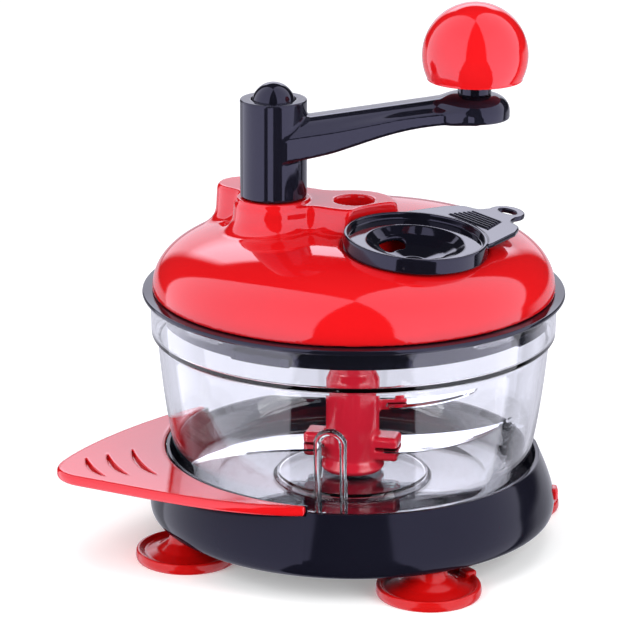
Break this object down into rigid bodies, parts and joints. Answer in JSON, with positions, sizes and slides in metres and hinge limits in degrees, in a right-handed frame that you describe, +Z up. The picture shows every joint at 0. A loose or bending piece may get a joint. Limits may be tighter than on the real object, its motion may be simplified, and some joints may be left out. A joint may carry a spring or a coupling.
{
  "type": "hand-crank food processor",
  "caption": "Hand-crank food processor: suction base with side handle, clear bowl with blade column, domed lid with geared crank and round knob, lift-out egg separator.",
  "frame": {"origin": "centre of the base's flat underside, on the bowl's axis", "axes": "+Z up along the bowl's axis, +X towards the release button's side, -Y to the front; the side handle points to -X"},
  "size_m": [0.2408, 0.205, 0.2623],
  "materials": {
    "red_plastic": "gloss, fine moulded texture",
    "red_plastic_translucent": "gloss red food-safe plastic",
    "red_rubber": "satin soft PVC",
    "black_plastic": "gloss black",
    "clear_plastic": "clear polystyrene",
    "blade_steel": "mirror-polished with ground edge",
    "fastener_steel": "zinc plated",
    "white_nylon": "natural nylon"
  },
  "bodies": {
    "base": {"base_shell": "black_plastic", "base_bottom_cover": "black_plastic", "cover_screw_1": "fastener_steel", "cover_screw_2": "fastener_steel", "cover_screw_3": "fastener_steel", "cover_screw_4": "fastener_steel", "side_handle": "red_plastic", "handle_screw_1": "fastener_steel", "handle_screw_2": "fastener_steel", "suction_foot_1": "red_rubber", "suction_foot_2": "red_rubber", "suction_foot_3": "red_rubber", "suction_foot_4": "red_rubber", "release_spring": "fastener_steel"},
    "release": {"release_button": "red_plastic"},
    "bowl": {"bowl": "clear_plastic", "bowl_pin": "fastener_steel"},
    "blades": {"blade_column": "red_plastic_translucent", "blade_lower_right": "blade_steel", "blade_lower_left": "blade_steel", "blade_upper": "blade_steel", "blade_rivet_right": "fastener_steel", "blade_rivet_left": "fastener_steel"},
    "seal": {"lid_seal_ring": "black_plastic"},
    "lid": {"lid_shell": "red_plastic", "lid_plate": "black_plastic", "plate_screw_1": "fastener_steel", "plate_screw_2": "fastener_steel", "plate_screw_3": "fastener_steel", "shaft_bush": "white_nylon", "pinion_bush": "white_nylon"},
    "pinion_drive": {"pinion": "white_nylon"},
    "crank": {"crank_arm": "black_plastic", "crank_shaft": "fastener_steel", "crank_screw": "fastener_steel", "crank_cap": "black_plastic", "drive_gear": "white_nylon", "gear_washer": "fastener_steel", "gear_screw": "fastener_steel", "knob_spindle": "black_plastic", "spindle_screw": "fastener_steel"},
    "knob": {"knob": "red_plastic"},
    "separator": {"egg_separator": "black_plastic"}
  },
  "joints": [
    {"name": "release_press", "type": "slide", "parent": "base", "child": "release", "axis": [-1, 0, 0], "range_m": [0, 0.002], "stiffness_N_per_m": 800},
    {"name": "bowl_lift", "type": "slide", "parent": "base", "child": "bowl", "axis": [0, 0, 1], "range_m": [0, 0.06]},
    {"name": "blade_spin", "type": "hinge", "parent": "bowl", "child": "blades", "pos_m": [0, 0, 0.05], "axis": [0, 0, 1], "continuous": true},
    {"name": "lid_lift", "type": "slide", "parent": "bowl", "child": "seal", "axis": [0, 0, 1], "range_m": [0, 0.06]},
    {"name": "lid_twist", "type": "hinge", "parent": "seal", "child": "lid", "pos_m": [0, 0, 0.11], "axis": [0, 0, 1], "range_deg": [-18, 0]},
    {"name": "crank_spin", "type": "hinge", "parent": "lid", "child": "crank", "pos_m": [-0.0379, 0.0004, 0.17], "axis": [0, 0, 1], "continuous": true},
    {"name": "knob_spin", "type": "hinge", "parent": "crank", "child": "knob", "pos_m": [0.05492, -0.01001, 0.2245], "axis": [0, 0, 1], "continuous": true},
    {"name": "pinion_spin", "type": "hinge", "parent": "lid", "child": "pinion_drive", "pos_m": [0, 0, 0.12], "axis": [0, 0, 1], "continuous": true},
    {"name": "separator_lift", "type": "slide", "parent": "lid", "child": "separator", "axis": [0.0593, -0.0609, 0.9964], "range_m": [0, 0.025]}
  ],
  "couplings": [
    {"joint": "pinion_spin", "follows": "crank_spin", "ratio": -2.5714},
    {"joint": "blade_spin", "follows": "crank_spin", "ratio": -2.5714}
  ]
}
